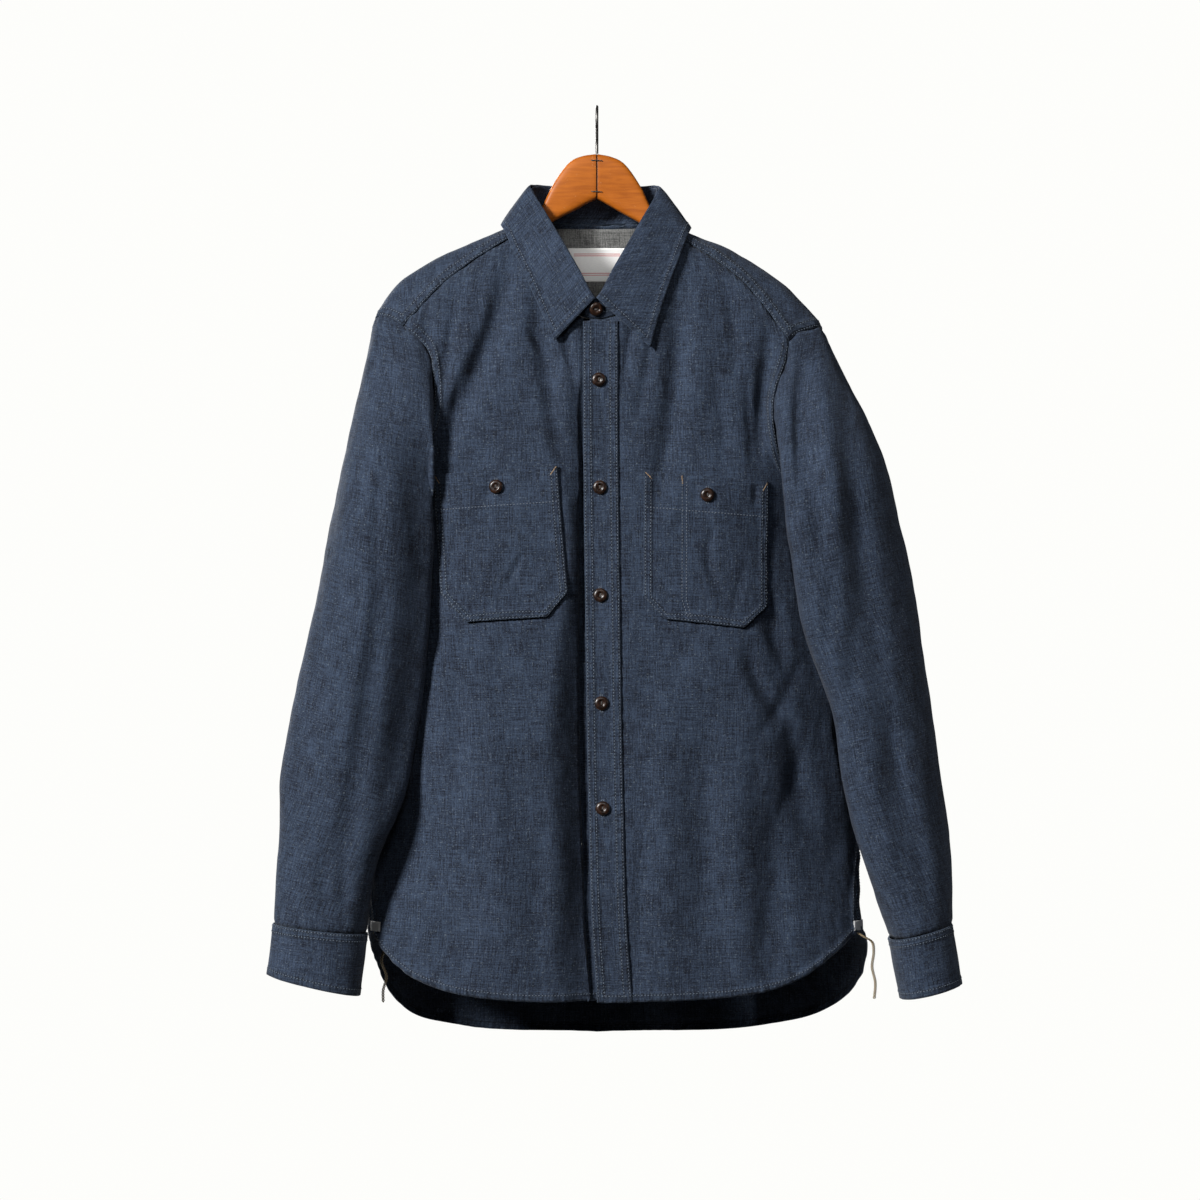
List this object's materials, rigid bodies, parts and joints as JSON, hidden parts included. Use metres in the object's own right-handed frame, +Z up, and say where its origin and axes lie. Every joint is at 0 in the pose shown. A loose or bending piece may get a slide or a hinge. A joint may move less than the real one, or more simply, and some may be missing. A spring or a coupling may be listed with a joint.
{
  "type": "chambray shirt on a wooden hanger",
  "caption": "Buttoned long-sleeved chambray work shirt with two chest pockets, a curved hem and a pointed collar, hanging on a wooden hanger with a steel hook.",
  "frame": {"origin": "the inner top of the hanger's hook, where a rail carries it", "axes": "+Z up, -Y out of the shirt's front, +X to the wearer's left"},
  "size_m": [0.6535, 0.1616, 0.8887],
  "materials": {
    "chambray": "matt woven cotton",
    "yoke_lining": "matt woven cotton",
    "label_cloth": "satin weave",
    "button_brown": "polished",
    "hanger_wood": "clear varnish",
    "hook_steel": "dark drawn wire",
    "thread_olive": "chain-stitched thread",
    "selvedge": "woven cotton"
  },
  "bodies": {
    "root": {"back": "chambray", "yoke": "chambray", "inner_yoke": "yoke_lining", "neck_label": "label_cloth", "front_left": "chambray", "front_right": "chambray", "front_placket": "chambray", "pocket_left": "chambray", "pocket_right": "chambray", "collar_stand": "chambray", "collar_leaf": "chambray", "sleeve_left": "chambray", "sleeve_right": "chambray", "sleeve_placket_left": "chambray", "sleeve_placket_right": "chambray", "cuff_left": "chambray", "cuff_right": "chambray", "side_tab_left": "selvedge", "side_tab_right": "selvedge", "thread_tail_left": "thread_olive", "thread_tail_right": "thread_olive", "collar_button": "button_brown", "pocket_button_left": "button_brown", "pocket_button_right": "button_brown", "cuff_button_left": "button_brown", "cuff_button_right": "button_brown", "hanger_arm_left": "hanger_wood", "hanger_arm_right": "hanger_wood", "hanger_hook": "hook_steel", "placket_button_1": "button_brown", "placket_button_2": "button_brown", "placket_button_3": "button_brown", "placket_button_4": "button_brown", "placket_button_5": "button_brown"}
  },
  "joints": []
}
